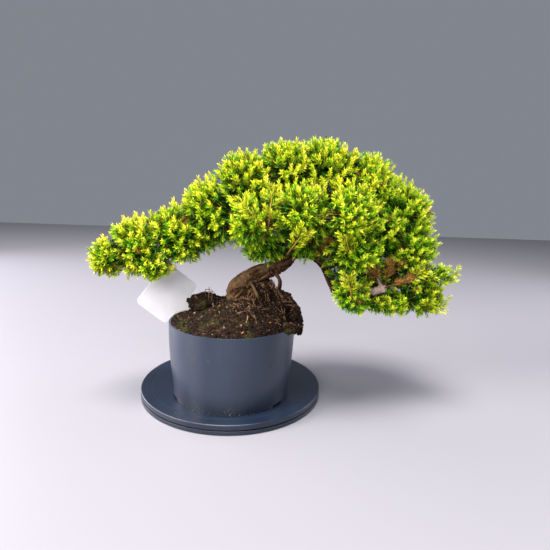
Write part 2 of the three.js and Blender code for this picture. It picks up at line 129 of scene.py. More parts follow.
# Each light's place, the height on the axis that it is aimed at, its size, watts and colour
LIGHTS = {
    "window": ((-2.4, -0.8, 1.3), 0.15, 1.1, 124, "#fffaf2"),
    "ceiling": ((-0.4, -0.6, 2.9), 0.2, 1.2, 182, "#fffdf6"),
    "front": ((-0.5, -2.4, 1.5), 0.15, 2.0, 60, "#fffef8"),
    "glass_door": ((-1.5, 0.7, 0.55), 0.1, 1.1, 32, "#f8f2fb"),
    "doorway": ((1.7, 0.3, 0.6), 0.15, 0.7, 12, "#f2f4ff"),
}
table_mesh = bpy.data.meshes.new("table")
table_mesh.from_pydata(
    [(x * TABLE_SIDE / 2, y * TABLE_SIDE / 2, TABLE_TOP_Z)
     for x, y in ((-1, -1), (1, -1), (1, 1), (-1, 1))], [], [(0, 1, 2, 3)])
table = new_object("table", table_mesh)
# Table laminate: smooth and half matt, so it takes soft shadows and no mirror image
laminate, _, _ = new_finish("white laminate", Base_Color="#85838c", Roughness=0.45)
table.data.materials.append(laminate)

world = bpy.data.worlds.new("daylight")
world.use_nodes = True
fill(world.node_tree.nodes["Background"], {"Color": "#c9d0dc", "Strength": 0.38})
bpy.context.scene.world = world
bpy.context.scene.view_settings.view_transform = "Standard"
for name, (place, aim, size, watts, code) in LIGHTS.items():
    light = bpy.data.objects.new(name, bpy.data.lights.new(name, "AREA"))
    light.data.size, light.data.energy, light.data.color = size, watts, linear(code)[:3]
    light.location = place
    light.rotation_euler = (Vector((0, 0, aim)) - Vector(place)).to_track_quat("-Z", "Y").to_euler()
    bpy.context.scene.collection.objects.link(light)


# Turntable: two discs of moulded ABS of one diameter, turned on a row of balls between them. The
# upper disc has a small chamfer, a groove near its rim and a step further in, and its edges are
# rounded as they leave the mould. Handling and dust leave faint rings and dull patches.
def turned(name, profile, sides=144):
    """A body turned about Z from (radius, height) points in mm that start and end on the axis."""
    points, rings = [], []
    for radius, height in profile:
        around = 1 if radius < 1e-6 else sides
        start = len(points)
        rings.append([start + (k if around > 1 else 0) for k in range(sides)])
        for k in range(around):
            angle = 2 * math.pi * k / sides
            points.append((radius * math.cos(angle), radius * math.sin(angle), height))
    faces = []
    for low, high in zip(rings, rings[1:]):
        for k in range(sides):
            corners = [low[k], low[(k + 1) % sides], high[(k + 1) % sides], high[k]]
            corners = list(dict.fromkeys(corners))
            if len(corners) > 2:
                faces.append(corners)
    mesh = bpy.data.meshes.new(name)
    mesh.from_pydata([Vector(p) * MM for p in points], [], faces)
    return new_object(name, mesh)


def made_plain(piece):
    """Turns what a piece's modifiers make into its own mesh, and removes them."""
    graph = bpy.context.evaluated_depsgraph_get()
    mesh = bpy.data.meshes.new_from_object(piece.evaluated_get(graph))
    piece.modifiers.clear()
    piece.data = mesh
    return piece


def rounded(piece, width):
    """Rounds a piece's sharp edges by a width in mm, and shades it smooth."""
    bevel = piece.modifiers.new("round", "BEVEL")
    bevel.width, bevel.segments = width * MM, 3
    bevel.limit_method, bevel.angle_limit = "ANGLE", math.radians(25)
    bevel.use_clamp_overlap = True
    piece.data.shade_smooth()
    piece.modifiers.new("normals", "WEIGHTED_NORMAL")
    return made_plain(piece)


def put_in_place(piece, finish, slot, *nodes, body="turning"):
    """Gives a finished piece its material, CAD nodes and body; its slot is not used."""
    if finish:
        piece.data.materials.append(finish)
    if nodes:
        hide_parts(*nodes)
    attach(piece, body)


def every(millimetres):
    """The scale of a pattern whose marks lie so many mm apart."""
    return 1 / (millimetres * MM)


# Moulded ABS with a satin skin: broad soft highlights, faint rings round the axis, and patches
# that hands have dulled
plate_plastic, add, shader = new_finish("moulded ABS turntable", IOR=1.53)
place = add("ShaderNodeTexCoord", output="Object")
flat = add("ShaderNodeVectorMath", {0: place, 1: (1, 1, 0)}, operation="MULTIPLY")
radius = add("ShaderNodeVectorMath", {0: flat}, operation="LENGTH")
ring_place = add("ShaderNodeCombineXYZ", {"X": radius})
rings = add("ShaderNodeTexNoise", {"Vector": ring_place, "Scale": every(4), "Detail": 3.0})
patches = add("ShaderNodeTexNoise", {"Vector": place, "Scale": every(36), "Detail": 5.0})
colours = add("ShaderNodeValToRGB", {0: patches}, stops=((0.3, "#0b1526"), (0.75, "#121e32")))
gloss = add("ShaderNodeMapRange", {0: patches, "To Min": 0.3, "To Max": 0.46})
relief = add("ShaderNodeBump", {"Strength": 0.25, "Distance": 0.0004, "Height": rings})
fill(shader, {"Base Color": colours, "Roughness": gloss, "Normal": relief})

DISC_ROUNDING = 0.35
lower_disc = turned("turntable_lower_disc", [
    (0, 0), (124.2, 0), (125, 0.8), (125, 5.2), (119, 5.2), (119, 3.5), (8, 3.5), (8, 8), (0, 8)])
upper_disc = turned("turntable_upper_disc", [
    (0, 8.5), (8.3, 8.5), (8.3, 3.8), (12, 3.8), (12, 8.5), (119, 8.5), (119, 6.6), (125, 6.6),
    (125, 12.2), (124.2, 13), (113, 13), (111.8, 12.6), (110.6, 13), (98.2, 13), (97, 12.8),
    (0, 12.8)])
for disc, node, body in ((lower_disc, "turntable_base", "base"),
                         (upper_disc, "turntable_plate", "turning")):
    rounded(disc, DISC_ROUNDING)
    put_in_place(disc, plate_plastic, "turntable_plastic", node, body=body)

# Moulded nylon: milky pale grey, slightly clouded, with a soft sheen
nylon, add, shader = new_finish("moulded nylon race", Roughness=0.35, IOR=1.53)
place = add("ShaderNodeTexCoord", output="Object")
cloud = add("ShaderNodeTexNoise", {"Vector": place, "Scale": every(11)})
colours = add("ShaderNodeValToRGB", {0: cloud}, stops=((0, "#a9acb1"), (1, "#c9ccd0")))
fill(shader, {"Base Color": colours})
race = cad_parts["ball_race"]
race.data.materials.clear()
race.data.materials.append(nylon)

# Pot: one thin-walled round pan, injection moulded in satin polypropylene, with a flared side, a
# rounded rim, drain holes, and a foot ring with three slots for water. Watering leaves dull marks
# on its side and pale specks of lime and dust round its foot.
TREE_PLACE = Vector((-1, -29, 0))
PLATE_TOP, POT_HEIGHT, RIM_TOP = 12.8, 97.6, 110.4
SLOT_ANGLES, SLOT_SIZE, SLOT_RADIUS = (-70, 50, 170), Vector((19, 14, 6)), 74
HOLE_COUNT, HOLE_RADIUS, HOLE_DEPTH, HOLE_CIRCLE = 4, 5, 12, 48


def eased(points, steps):
    """More points along a smooth line through the given ones, which are tuples of numbers."""
    known = [np.array(p, float) for p in (points[0], *points, points[-1])]
    known[0], known[-1] = 2 * known[1] - known[2], 2 * known[-2] - known[-3]
    line = []
    for a, b, c, d in zip(known, known[1:], known[2:], known[3:]):
        for t in np.linspace(0, 1, steps, endpoint=False):
            line.append(0.5 * (2 * b + (c - a) * t + (2 * a - 5 * b + 4 * c - d) * t ** 2
                               + (3 * b - a - 3 * c + d) * t ** 3))
    return np.array([*line, known[-2]])


def made_from(form, name):
    """An object of a bmesh, in the scene."""
    mesh = bpy.data.meshes.new(name)
    form.to_mesh(mesh)
    return new_object(name, mesh)


side_out = eased([(76.5, 0.2), (77.3, 18), (80.5, 45), (82.3, 75), (82.5, POT_HEIGHT)], 8)
side_in = eased([(79.9, POT_HEIGHT), (79.3, 75), (77.5, 45), (74.3, 18), (72, 6.5)], 8)
profile = [(0, 3), (70, 3), (70, 0.2), *side_out, *side_in, (0, 6.5)]
pot = turned("pot_side", [(r, h + PLATE_TOP) for r, h in profile])
cutters = bmesh.new()
for angle in SLOT_ANGLES:
    slot_box = bmesh.ops.create_cube(cutters, size=1)["verts"]
    bmesh.ops.scale(cutters, verts=slot_box, vec=SLOT_SIZE * MM)
    bmesh.ops.translate(cutters, verts=slot_box, vec=Vector((0, -SLOT_RADIUS, PLATE_TOP)) * MM)
    bmesh.ops.rotate(cutters, verts=slot_box, matrix=Matrix.Rotation(math.radians(angle), 3, "Z"))
for k in range(HOLE_COUNT):
    hole = bmesh.ops.create_cone(cutters, segments=24, radius1=HOLE_RADIUS * MM,
                                 radius2=HOLE_RADIUS * MM, depth=HOLE_DEPTH * MM,
                                 cap_ends=True)["verts"]
    turn = 2 * math.pi / HOLE_COUNT * k
    middle = Vector((HOLE_CIRCLE * math.cos(turn), HOLE_CIRCLE * math.sin(turn), PLATE_TOP + 4))
    bmesh.ops.translate(cutters, verts=hole, vec=middle * MM)
cutter = made_from(cutters, "slots")
cut = pot.modifiers.new("slots", "BOOLEAN")
cut.object, cut.solver = cutter, "EXACT"
made_plain(pot)
bpy.data.objects.remove(cutter)
rounded(pot, 0.6)
pot.data.transform(Matrix.Translation(TREE_PLACE * MM))

# Moulded polypropylene: satin blue-grey with a soft bright edge. Water has left dull streaks and
# scuffs, and lime specks near the foot. Low down the side is darkened with painted shade and a
# painted reflection of the turntable. The real specks are about half a millimetre, too fine to
# show, so they are drawn at a millimetre.
pot_plastic, add, shader = new_finish("moulded polypropylene pot", IOR=1.49)
place = add("ShaderNodeTexCoord", output="Object")
tall = add("ShaderNodeMapping", {"Vector": place, "Scale": (1, 1, 0.35)})
marks = add("ShaderNodeTexNoise",
            {"Vector": tall, "Scale": every(30), "Detail": 6.0, "Roughness": 0.6})
colours = add("ShaderNodeValToRGB", {0: marks}, stops=((0.3, "#212a3b"), (0.72, "#2a3446")))
height = add("ShaderNodeSeparateXYZ", {0: place}, output="Z")
low = add("ShaderNodeMapRange", {0: height, "From Min": 0.04, "From Max": 0.014, "To Max": 0.65})
specks = add("ShaderNodeTexVoronoi", {"Vector": place, "Scale": every(2.4)})
speck = add("ShaderNodeMapRange", {0: specks, "From Min": 0.3, "From Max": 0.16})
drift = add("ShaderNodeTexNoise", {"Vector": place, "Scale": every(16)})
thick = add("ShaderNodeMath", {0: drift, 1: low}, operation="MULTIPLY")
dusty = add("ShaderNodeMapRange", {0: thick, "From Min": 0.22, "From Max": 0.4})
dust = add("ShaderNodeMath", {0: speck, 1: dusty}, operation="MULTIPLY")
rubbed = add("ShaderNodeTexNoise",
             {"Vector": place, "Scale": every(13), "Detail": 9.0, "Roughness": 0.75})
scuffs = add("ShaderNodeMapRange", {0: rubbed, "From Min": 0.62, "From Max": 0.72, "To Max": 0.22})
worn_side = add("ShaderNodeMath", {0: dust, 1: scuffs}, operation="MAXIMUM")
# Painted shade: low down the side is mixed towards near black, for the turntable's shadow and
# reflection
painted_foot_shade = add("ShaderNodeMix", {"Factor": low, "A": colours, "B": "#030508"}, data_type="RGBA")
dusted = add("ShaderNodeMix", {"Factor": worn_side, "A": painted_foot_shade, "B": "#6b727d"},
             data_type="RGBA")
gloss = add("ShaderNodeMapRange",
            {0: marks, "From Min": 0.3, "From Max": 0.7, "To Min": 0.27, "To Max": 0.4})
relief = add("ShaderNodeBump", {"Strength": 0.12, "Distance": 0.0005, "Height": marks})
fill(shader, {"Base Color": dusted, "Roughness": gloss, "Normal": relief})
put_in_place(pot, pot_plastic, "pot_plastic", "pot")

# Wood: a short thick trunk that leans to the right over bare roots, its limbs, and the twigs that
# carry the foliage, all grown together. The bark is red-brown and stringy, in strips along the
# limb with dark fissures between them, and one dead stub in the right limb has lost it.

# Each limb is a list of (x, y, z, radius) in mm from the pot's axis, from its root to its end
TRUNK = [(2, 4, 98, 11), (5, 0, 139, 14), (7, 0, 154, 13.5), (20, -2, 166, 12), (37, -3, 176, 11),
         (52, -3, 182, 10.5), (68, -2, 194, 10), (80, 0, 215, 8)]
LIMBS = [
    [(64, -2, 192, 7), (45, 8, 215, 6), (10, 8, 232, 5.2), (-32, 5, 228, 4.6), (-82, -4, 196, 4),
     (-120, -8, 184, 3), (-150, -9, 182, 2.2)],
    [(72, -2, 200, 7.5), (96, -2, 203, 7), (116, -5, 190, 6), (129, -8, 166, 5.4),
     (143, -15, 147, 4.6), (190, -25, 153, 3.6), (240, -22, 156, 2.4)],
    [(78, 0, 212, 6.5), (56, 0, 250, 5), (16, -4, 276, 3)],
    [(80, 0, 212, 6), (86, 0, 255, 5), (92, 2, 292, 3)],
    [(82, 0, 210, 6.5), (112, 0, 240, 5.4), (160, 0, 262, 4), (218, 0, 246, 2.6)],
    [(80, -4, 210, 5), (86, -28, 236, 4), (98, -54, 250, 2.6)],
    [(82, 6, 212, 5.5), (84, 36, 245, 4.4), (84, 60, 272, 3)],
]
DEAD_STUB = [(160, -19, 150, 3.2), (176, -30, 158, 3.8), (189, -43, 165, 4.8)]
STUB_FORKS = [
    [(183, -37, 162, 4), (177, -44, 162, 3.6), (171, -48, 160, 2.7)],
    [(186, -40, 164, 3.2), (181, -42, 176, 2.1), (176, -40, 188, 1.6), (170, -36, 199, 1.2)],
]
ROOTS = [
    [(10, -2, 150, 6), (-4, -8, 136, 4.5), (-26, -20, 112, 3)],
    [(22, -13, 164, 2.4), (28, -28, 154, 1.8), (37, -37, 138, 1.4)],
    [(56, 2, 176, 2.4), (62, 3, 160, 2), (58, 2, 136, 1.6)],
    [(30, 2, 168, 4.5), (38, 8, 148, 4), (42, 12, 122, 2.6)],
    [(14, 6, 158, 6), (8, 24, 140, 4.5), (-2, 44, 118, 3)],
    [(52, -8, 178, 2.4), (59, -13, 166, 2), (56, -14, 148, 1.6)],
    [(40, 4, 172, 3), (54, 20, 150, 2.4), (62, 34, 126, 1.8)],
]
# Each pad of foliage has its middle and its reach along X, Y and Z, and a twig runs to its middle
PADS = {
    "left_tip": ((-156, -10, 192), (23, 24, 27)),
    "left_end": ((-125, -4, 207), (33, 34, 42)),
    "left_under": ((-99, -22, 182), (23, 22, 16)),
    "left_mid": ((-79, 0, 224), (36, 38, 36)),
    "left_shoulder": ((-36, 2, 250), (35, 40, 46)),
    "left_back": ((-45, 42, 228), (38, 28, 32)),
    "crown_left": ((9, -5, 290), (37, 44, 40)),
    "crown_front_left": ((23, -50, 243), (33, 32, 32)),
    "crown_top_left": ((60, 4, 308), (38, 46, 38)),
    "crown_top": ((110, 5, 315), (40, 48, 36)),
    "crown_top_right": ((169, 2, 296), (42, 46, 38)),
    "crown_right": ((219, 0, 258), (42, 44, 44)),
    "crown_front": ((76, -60, 258), (35, 32, 31)),
    "crown_front_right": ((133, -58, 256), (36, 32, 34)),
    "crown_back_left": ((18, 56, 262), (38, 34, 38)),
    "crown_back": ((82, 64, 284), (40, 34, 38)),
    "crown_back_right": ((150, 60, 266), (42, 34, 38)),
    "right_back": ((202, 48, 218), (40, 32, 36)),
    "right_mid": ((224, -16, 214), (42, 36, 32)),
    "right_front": ((148, -50, 211), (32, 28, 27)),
    "right_drop": ((147, -42, 158), (23, 24, 29)),
    "right_bottom": ((198, -30, 146), (27, 24, 18)),
    "right_low": ((254, -18, 150), (30, 26, 28)),
    "right_spur": ((256, -34, 182), (36, 12, 11)),
    "inner_drop": ((35, -15, 209), (28, 26, 21)),
}
TWIG_GIRTHS = (2.8, 1.3)
WOOD_STEP, WOOD_SIDES, WOOD_VOXEL = 2, 16, 1.15
BARK_HEIGHT, GRAIN_ACROSS, GRAIN_ALONG, DEAD_REACH = 1.8, 0.34, 0.035, 22


def store(mesh, title, values, kind="FLOAT"):
    """Stores a value for each point of a mesh as a named attribute."""
    layer = mesh.attributes.new(title, kind, "POINT")
    field = "vector" if kind == "FLOAT_VECTOR" else "value"
    layer.data.foreach_set(field, np.asarray(values, np.float32).ravel())


def threads(name, lines, names):
    """An object of lines of points: x, y, z in mm from the pot's axis, and the named values."""
    points = np.concatenate([np.asarray(line, float) for line in lines])
    ends = np.cumsum([len(line) for line in lines])
    starts = np.concatenate([[0], ends[:-1]])
    edges = [(k, k + 1) for start, end in zip(starts, ends) for k in range(start, end - 1)]
    mesh = bpy.data.meshes.new(name)
    mesh.from_pydata((points[:, :3] + TREE_PLACE) * MM, edges, [])
    for k, title in enumerate(names):
        store(mesh, title, points[:, 3 + k])
    return new_object(name, mesh)


def new_tree(name, **sockets):
    """A Geometry Nodes tree with named inputs, what adds a node to it, and the inputs' outputs."""
    tree = bpy.data.node_groups.new(name, "GeometryNodeTree")
    tree.interface.new_socket("Geometry", in_out="INPUT", socket_type="NodeSocketGeometry")
    tree.interface.new_socket("Geometry", in_out="OUTPUT", socket_type="NodeSocketGeometry")
    for title, kind in sockets.items():
        tree.interface.new_socket(title.replace("_", " "), in_out="INPUT",
                                  socket_type="NodeSocket" + kind)
    add = partial(add_node, tree)
    return tree, add, add("NodeGroupInput").node.outputs


def grow(piece, tree, **values):
    """Runs a tree on a piece with its named inputs set, and keeps the result as a plain mesh."""
    modifier = piece.modifiers.new(tree.name, "NODES")
    modifier.node_group = tree
    for socket in tree.interface.items_tree:
        title = socket.name.replace(" ", "_")
        if socket.in_out == "INPUT" and title in values:
            modifier[socket.identifier] = values[title]
    return made_plain(piece)


def smooth_course(add, lines):
    """The lines of a mesh as smooth curves."""
    course = add("GeometryNodeMeshToCurve", {"Mesh": lines})
    return add("GeometryNodeCurveSplineType", {"Curve": course}, spline_type="CATMULL_ROM")


def tubes_along(add, course, step, sides):
    """Closed tubes along curves, as thick as the girth of their points."""
    course = add("GeometryNodeResampleCurve", {"Curve": course, "Length": step}, mode="LENGTH")
    section = add("GeometryNodeCurvePrimitiveCircle", {"Resolution": sides, "Radius": 1.0})
    girth = add("GeometryNodeInputNamedAttribute", {"Name": "girth"}, data_type="FLOAT")
    return add("GeometryNodeCurveToMesh", {
        "Curve": course, "Profile Curve": section, "Scale": girth, "Fill Caps": True})


def dressed(add, shape, material):
    """A shape with its instances made real and a material set."""
    whole = add("GeometryNodeRealizeInstances", {0: shape})
    return add("GeometryNodeSetMaterial", {"Geometry": whole, "Material": material})


def read_points(mesh, field):
    """The places or normals of a mesh's points, a row for each."""
    values = np.empty(len(mesh.vertices) * 3)
    mesh.vertices.foreach_get(field, values)
    return values.reshape(-1, 3)


limb_tree, add, given = new_tree("limbs along their lines", Step="Float", Sides="Int",
                            Material="Material")
course = smooth_course(add, given["Geometry"])
tubes = tubes_along(add, course, given["Step"], given["Sides"])
add("NodeGroupOutput", {0: dressed(add, tubes, given["Material"])})

# Juniper bark: matt and stringy, with dark fissures between paler strips. It is worn in patches,
# and painted lighter on its upper side as light from above. Where the wood is dead it is bleached
# to a pinkish grey.
bark, add, shader = new_finish(
    "stringy juniper bark", Roughness=0.85, IOR=1.4, Specular_IOR_Level=0.15)
grain = add("ShaderNodeAttribute", output="Vector", attribute_name="grain")
strips = add("ShaderNodeTexNoise",
             {"Vector": grain, "Scale": 1.0, "Detail": 6.0, "Roughness": 0.65})
colours = add("ShaderNodeValToRGB", {0: strips}, stops=(
    (0.36, "#170e08"), (0.46, "#2c1c10"), (0.56, "#4f3723"), (0.72, "#7c6047")))
upper, dead = [
    add("ShaderNodeAttribute", output="Fac", attribute_name=title)
    for title in ("upper", "dead")]
# Painted light: bark facing up is mixed paler as if lit from above, along with worn patches
worn_and_top_lit = add("ShaderNodeMix", {"Factor": upper, "A": colours, "B": "#71573f"}, data_type="RGBA")
bleached = add("ShaderNodeMix", {"Factor": dead, "A": worn_and_top_lit, "B": "#b39c93"}, data_type="RGBA")
fissures = add("ShaderNodeBump", {"Strength": 0.9, "Distance": 0.0012, "Height": strips})
fill(shader, {"Base Color": bleached, "Normal": fissures})

# A twig leaves the limb point that is nearest to its pad, clear of the limb's root
limb_points = np.concatenate([eased(limb, 4)[3:] for limb in LIMBS])
twigs = []
for at, reach in PADS.values():
    start = limb_points[np.argmin(np.linalg.norm(limb_points[:, :3] - at, axis=1))]
    girth = min(TWIG_GIRTHS[0], start[3])
    middle = (start[:3] + at) / 2 - (0, 0, 3)
    twigs.append([(*start[:3], girth), (*middle, 0.8 * girth), (*at, TWIG_GIRTHS[1])])
wood_lines = [TRUNK, *LIMBS, *ROOTS, *twigs, DEAD_STUB, *STUB_FORKS]
wood = threads("trunk_and_limbs", [[(*p[:3], p[3] * MM) for p in line] for line in wood_lines],
               ["girth"])
grow(wood, limb_tree, Step=WOOD_STEP * MM, Sides=WOOD_SIDES, Material=bark)
blend_limbs = wood.modifiers.new("grown together", "REMESH")
blend_limbs.mode, blend_limbs.voxel_size = "VOXEL", WOOD_VOXEL * MM
made_plain(wood)

# The bark's relief: strips that run along the limb, found from each point's nearest limb line
centres, along, axes = [], [], []
for line in wood_lines:
    fine = eased(line, 8)
    steps = np.linalg.norm(np.diff(fine[:, :3], axis=0), axis=1)
    centres.extend(fine[:, :3])
    along.extend(np.concatenate([[0], np.cumsum(steps)]))
    axes.extend(np.gradient(fine[:, :3], axis=0))
lookup = KDTree(len(centres))
for k, centre in enumerate(centres):
    lookup.insert(centre, k)
lookup.balance()
places = read_points(wood.data, "co") / MM - TREE_PLACE
normals = read_points(wood.data, "normal")
grains = np.empty_like(places)
for k, point in enumerate(places):
    _, nearest, _ = lookup.find(point)
    axis = axes[nearest] / np.linalg.norm(axes[nearest])
    off = point - centres[nearest]
    across = off - (off @ axis) * axis
    grains[k] = across * GRAIN_ACROSS + axis * (along[nearest] + off @ axis) * GRAIN_ALONG
heights = np.array([noise.fractal(Vector(g), 0.8, 2.0, 5) for g in grains])
lifted = places + normals * (heights * BARK_HEIGHT)[:, None]
wood.data.vertices.foreach_set("co", ((lifted + TREE_PLACE) * MM).ravel())
stub_off = np.linalg.norm(places - np.array(DEAD_STUB[-1][:3]), axis=1)
wear = np.array([noise.fractal(Vector(p) * 0.06, 0.8, 2.0, 3) for p in places])
store(wood.data, "grain", grains, "FLOAT_VECTOR")
# Painted light: the paler mix is strongest where the bark faces up, plus real patches of wear
store(wood.data, "upper", np.clip(normals[:, 2] * 0.6 + wear * 0.9 - 0.1, 0, 0.75))
store(wood.data, "dead", np.clip(1.5 - stub_off / DEAD_REACH, 0, 1))
wood.data.shade_smooth()
put_in_place(wood, None, "bark", "tree_wood")

# Soil: dark potting mix that fills the pot, rises as a mound round the trunk and spills over the
# rim on the right. It is loose crumbs with bits of bark, grit, moss and fine tan roots.
MOUND_RIDGE = [(-80, 0), (-60, 9), (-40, 17), (-20, 27), (0, 32), (30, 38), (52, 38), (66, 29),
               (76, 14), (80, 4)]
CLODS = [
    ((-38, 8, 132), (21, 24, 11)), ((78, -4, 113), (14, 30, 10)), ((89, -6, 101), (5, 8, 10)),
    ((70, -40, 111), (12, 12, 6)), ((42, 2, 142), (20, 24, 12)), ((38, -4, 149), (17, 19, 16)),
    ((62, -2, 136), (17, 26, 14)), ((79, -8, 123), (9, 24, 13)),
]
SOIL_RADIUS, SOIL_RING_COUNT, SOIL_SIDES = 79, 48, 180
# The soil's side inside the pot, from the rim down to its floor, as radii and heights
SOIL_SIDE, SOIL_FLOOR = ((77, 86), (73.5, 32), (71.5, 20.5)), 20.5
# Crumbs lie from this height over the table up, in metres
OPEN_AIR_FROM = 0.1035
POT_MOUTH, BELOW_RIM, MOUND_ROUGHNESS, MOUND_EDGE = 79.5, 3, 3.2, 6


def mound_height(x, y):
    """The soil's height over the table at a place from the pot's axis, in mm."""
    ridge = np.interp(x, *zip(*MOUND_RIDGE))
    half = math.sqrt(max(1, POT_MOUTH ** 2 - x ** 2))
    fall = 1 - min(1, abs(y) / half) ** 1.7
    rough = noise.fractal(Vector((x, y, 0)) * 0.09, 0.7, 2.0, 5)
    fade = min(1, (SOIL_RADIUS - math.hypot(x, y)) / MOUND_EDGE)
    filled = RIM_TOP - BELOW_RIM + BELOW_RIM * min(1, fade + fall)
    return filled + ridge * fall + MOUND_ROUGHNESS * rough * fade


def buried(place):
    """Whether a place in mm lies well inside a clod or under the mound, where no crumb shows."""
    for at, reach in CLODS:
        if sum(((place[i] - at[i]) / reach[i]) ** 2 for i in range(3)) < 0.6:
            return True
    x, y, z = place
    return math.hypot(x, y) < SOIL_RADIUS and z < mound_height(x, y) - 2


sheet = bmesh.new()
rings = []
ring_radii = [SOIL_RADIUS * ring / SOIL_RING_COUNT for ring in range(1, SOIL_RING_COUNT + 1)]
for radius, z in [*((radius, None) for radius in ring_radii), *SOIL_SIDE]:
    rings.append([])
    for k in range(SOIL_SIDES):
        angle = 2 * math.pi * k / SOIL_SIDES
        x, y = radius * math.cos(angle), radius * math.sin(angle)
        rings[-1].append(sheet.verts.new((x, y, mound_height(x, y) if z is None else z)))
peak = sheet.verts.new((0, 0, mound_height(0, 0)))
under = sheet.verts.new((0, 0, SOIL_FLOOR))
for k in range(SOIL_SIDES):
    n = (k + 1) % SOIL_SIDES
    sheet.faces.new((peak, rings[0][k], rings[0][n]))
    for inner, outer in zip(rings, rings[1:]):
        sheet.faces.new((inner[k], outer[k], outer[n], inner[n]))
    sheet.faces.new((rings[-1][k], under, rings[-1][n]))
for at, reach in CLODS:
    for corner in bmesh.ops.create_icosphere(sheet, subdivisions=5, radius=1)["verts"]:
        rough = 1 + 0.16 * noise.fractal(corner.co * 2.2 + Vector(at), 0.7, 2.0, 5)
        corner.co = Vector([at[i] + corner.co[i] * reach[i] * rough for i in range(3)])
bmesh.ops.recalc_face_normals(sheet, faces=sheet.faces)
soil = made_from(sheet, "soil_mound")
soil.data.transform(Matrix.Scale(MM, 4) @ Matrix.Translation(TREE_PLACE))
soil.data.shade_smooth()
store(soil.data, "open_air", [
    v.co.z > OPEN_AIR_FROM and v.normal.z > -0.9 and not buried(v.co / MM - TREE_PLACE)
    for v in soil.data.vertices])


def mossed(add, place, colours, most, green):
    """Colours with moss over them, in damp patches some 24 mm apart."""
    damp = add("ShaderNodeTexNoise", {"Vector": place, "Scale": every(24), "Detail": 4.0})
    mossy = add("ShaderNodeMapRange", {0: damp, "From Min": 0.57, "From Max": 0.68, "To Max": most})
    return add("ShaderNodeMix", {"Factor": mossy, "A": colours, "B": green}, data_type="RGBA")


# Damp potting mix: matt and nearly black, with a few dull green patches of moss. Its grains are
# under a millimetre, too fine to show, so the pattern is drawn at 3 mm.
humus, add, shader = new_finish("potting soil", Roughness=0.95, Specular_IOR_Level=0.1)
place = add("ShaderNodeTexCoord", output="Object")
grit = add("ShaderNodeTexNoise",
           {"Vector": place, "Scale": every(3), "Detail": 8.0, "Roughness": 0.7})
colours = add("ShaderNodeValToRGB", {0: grit},
              stops=((0.4, "#0e0906"), (0.56, "#241811"), (0.76, "#5a4433")))
relief = add("ShaderNodeBump", {"Strength": 1.0, "Distance": 0.0015, "Height": grit})
fill(shader, {"Base Color": mossed(add, place, colours, 0.4, "#434c1c"), "Normal": relief})
put_in_place(soil, humus, "soil", "soil")

# Crumbs: what lies loose on the soil, from humus crumbs of about a millimetre to chips of bark,
# with a few pale and yellow grains of grit among them.
CRUMBS_PER_SQUARE_METRE, CRUMB_SIZES = 195000.0, (0.5, 2.6)

# Loose humus: matt and dark, with brown bark chips and a few pale or yellow grains. Its pits are
# too fine to show, so they are drawn at about a millimetre.
crumb_finish, add, shader = new_finish(
    "loose crumbs and grit", Roughness=0.9, Specular_IOR_Level=0.15)
kind = add("ShaderNodeAttribute", output="Fac", attribute_name="kind")
colours = add("ShaderNodeValToRGB", {0: kind}, stops=(
    (0, "#130c08"), (0.4, "#1c110b"), (0.68, "#2b1b13"), (0.88, "#3f281b"), (0.95, "#5a3625"),
    (0.962, "#8d7365"), (0.981, "#465019"), (0.994, "#94622a"), (0.9965, "#a89790")))
colours.node.color_ramp.interpolation = "CONSTANT"
place = add("ShaderNodeTexCoord", output="Object")
pits = add("ShaderNodeTexNoise", {"Vector": place, "Scale": every(1.1)})
pitted = add("ShaderNodeBump", {"Strength": 0.5, "Distance": 0.0004, "Height": pits})
fill(shader, {"Base Color": mossed(add, place, colours, 0.33, "#414a1a"), "Normal": pitted})

crumb_mesh = bpy.data.meshes.new("crumb")
crumb_form = bmesh.new()
bmesh.ops.create_icosphere(crumb_form, subdivisions=1, radius=1)
crumb_chance = random.Random(3)
for corner in crumb_form.verts:
    corner.co *= crumb_chance.uniform(0.75, 1.2)
crumb_form.to_mesh(crumb_mesh)
crumb = bpy.data.objects.new("crumb", crumb_mesh)

scatter_tree, add, given = new_tree(
    "crumbs over the soil", Per_square_metre="Float", Smallest="Float", Largest="Float",
    Crumb="Object", Seed="Int", Material="Material")
open_air = add("GeometryNodeInputNamedAttribute", {"Name": "open_air"}, data_type="FLOAT")
thickly = add("ShaderNodeMath", {0: open_air, 1: given["Per square metre"]}, operation="MULTIPLY")
spots = add("GeometryNodeDistributePointsOnFaces", {
    "Mesh": given["Geometry"], "Density": thickly, "Seed": given["Seed"]})
share = add("FunctionNodeRandomValue", {"Seed": given["Seed"]})
rarer = add("ShaderNodeMath", {0: share, 1: 2.5}, operation="POWER")
size = add("ShaderNodeMapRange", {
    0: rarer, "To Min": given["Smallest"], "To Max": given["Largest"]})
shape = add("FunctionNodeRandomValue", {
    0: (0.6, 0.6, 0.45), 1: (1.3, 1.1, 0.9), "Seed": 11}, data_type="FLOAT_VECTOR")
scale = add("ShaderNodeVectorMath", {0: shape, "Scale": size}, operation="SCALE")
turn = add("FunctionNodeRandomValue", {
    0: (0, 0, 0), 1: (6.28, 6.28, 6.28), "Seed": 12}, data_type="FLOAT_VECTOR")
lump = add("GeometryNodeObjectInfo", {"Object": given["Crumb"]}, output="Geometry")
laid = add("GeometryNodeInstanceOnPoints", {
    "Points": spots, "Instance": lump, "Rotation": turn, "Scale": scale})
sort = add("FunctionNodeRandomValue", {"Seed": 13})
sorted_crumbs = add("GeometryNodeStoreNamedAttribute", {
    "Geometry": laid, "Name": "kind", "Value": sort}, data_type="FLOAT", domain="INSTANCE")
add("NodeGroupOutput", {0: dressed(add, sorted_crumbs, given["Material"])})

